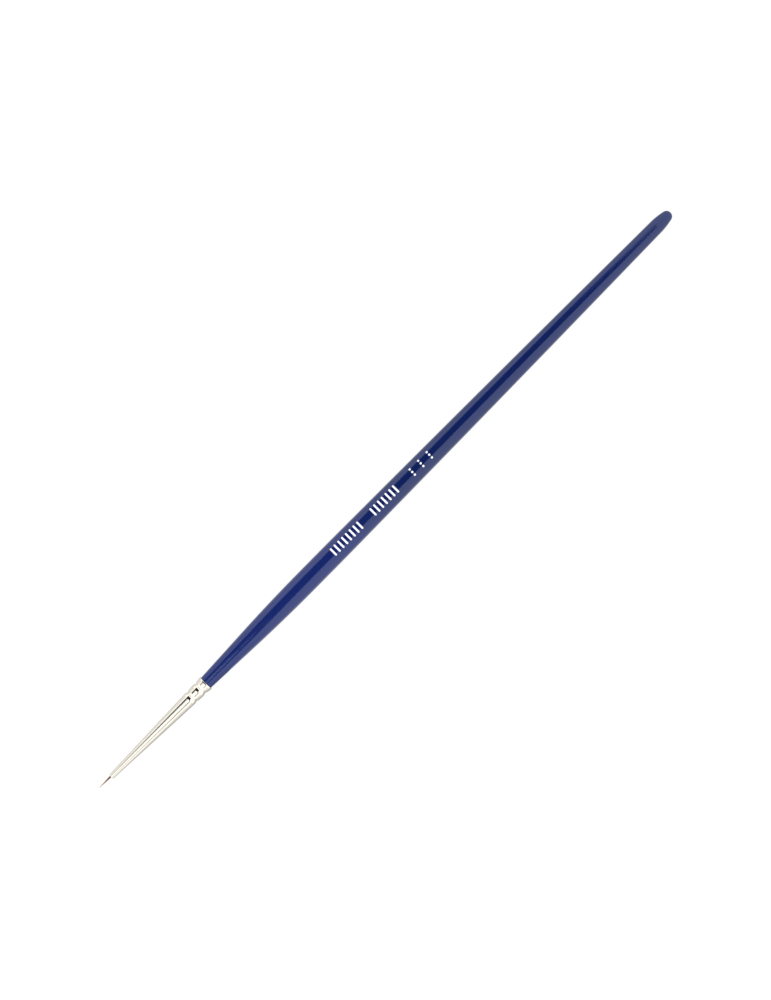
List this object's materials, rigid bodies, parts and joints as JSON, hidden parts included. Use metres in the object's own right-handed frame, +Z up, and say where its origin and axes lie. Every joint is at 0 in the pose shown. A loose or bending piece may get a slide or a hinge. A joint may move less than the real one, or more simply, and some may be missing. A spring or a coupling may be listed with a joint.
{
  "type": "fine detail brush",
  "caption": "Fine detail brush: slim lacquered wooden handle, tapered crimped metal ferrule and a very small pointed hair tuft.",
  "frame": {"origin": "on the surface that the brush lies on, under the middle of its length and under the handle's axis", "axes": "+X along the handle's axis towards the tail, the hair points to -X; +Z up, with the marks on top"},
  "size_m": [0.175, 0.005, 0.0051],
  "materials": {
    "wood": "matte",
    "lacquer": "gloss",
    "nickel_plate": "polished",
    "adhesive": "satin",
    "resin": "gloss",
    "thread": "matte",
    "hair": "satin"
  },
  "bodies": {
    "root": {"wooden_handle": "wood", "lacquer_coat": "lacquer", "ferrule": "nickel_plate", "handle_glue": "adhesive", "epoxy_plug": "resin", "tie_thread": "thread", "hair_tuft": "hair"}
  },
  "joints": []
}
